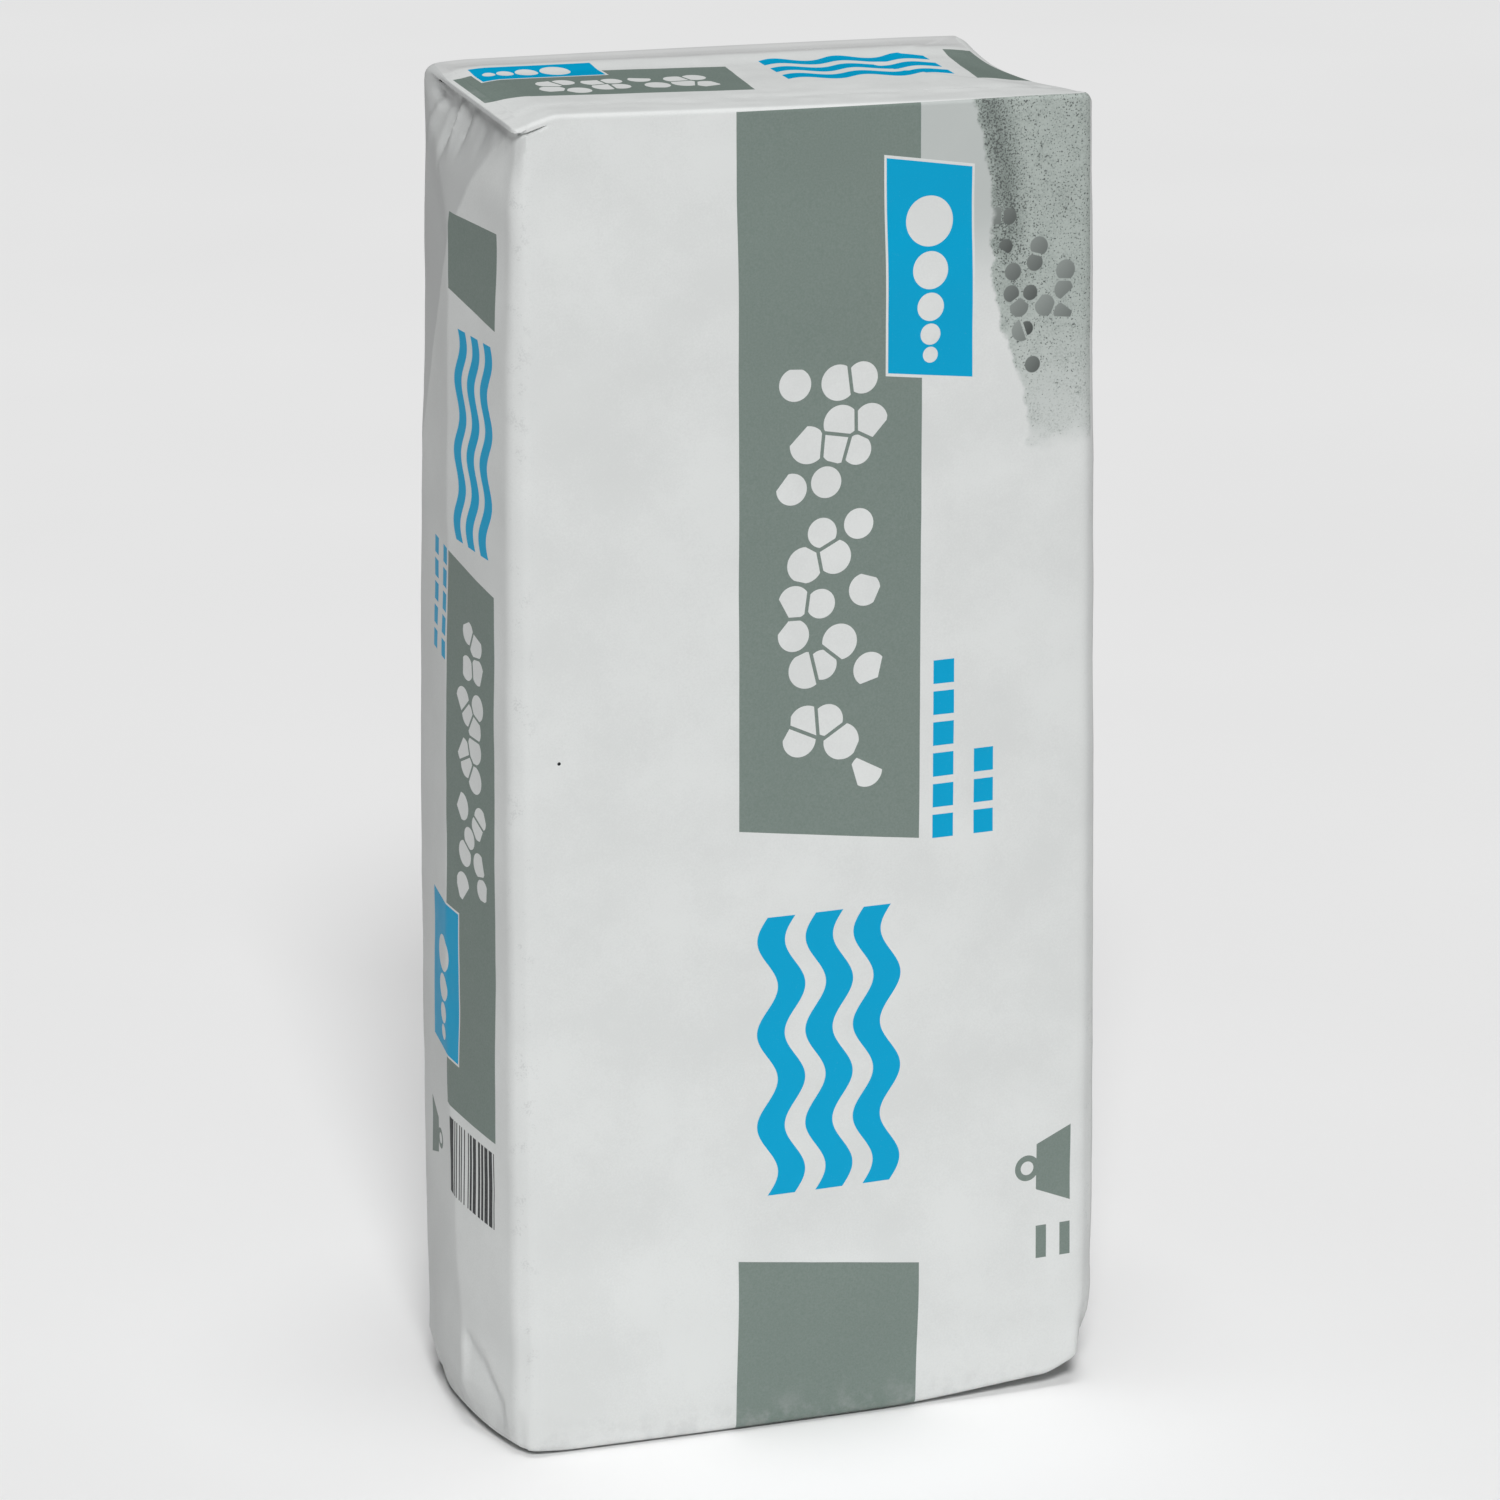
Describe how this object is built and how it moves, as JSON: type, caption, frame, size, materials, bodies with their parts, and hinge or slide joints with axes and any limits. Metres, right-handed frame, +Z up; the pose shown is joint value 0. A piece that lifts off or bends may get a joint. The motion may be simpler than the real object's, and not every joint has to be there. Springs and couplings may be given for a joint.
{
  "type": "concrete mix bag",
  "caption": "Filled paper valve sack of dry concrete mix, standing on its folded block bottom, with a pasted strip over each end and a valve sleeve under the top lip.",
  "frame": {"origin": "on the floor, under the middle of the sack's bounding box", "axes": "+Z up along the standing sack, -Y out of the printed front, -X towards the valve end of the top"},
  "size_m": [0.2712, 0.132, 0.5501],
  "materials": {
    "sack_paper": "smooth white outer paper with faint creases",
    "top_strip_paper": "pasted white paper strip",
    "bottom_strip_paper": "pasted white paper strip",
    "sleeve_paper": "plain brown kraft"
  },
  "bodies": {
    "root": {"sack": "sack_paper", "top_cover_patch": "top_strip_paper", "bottom_cover_patch": "bottom_strip_paper", "valve_sleeve": "sleeve_paper"}
  },
  "joints": []
}
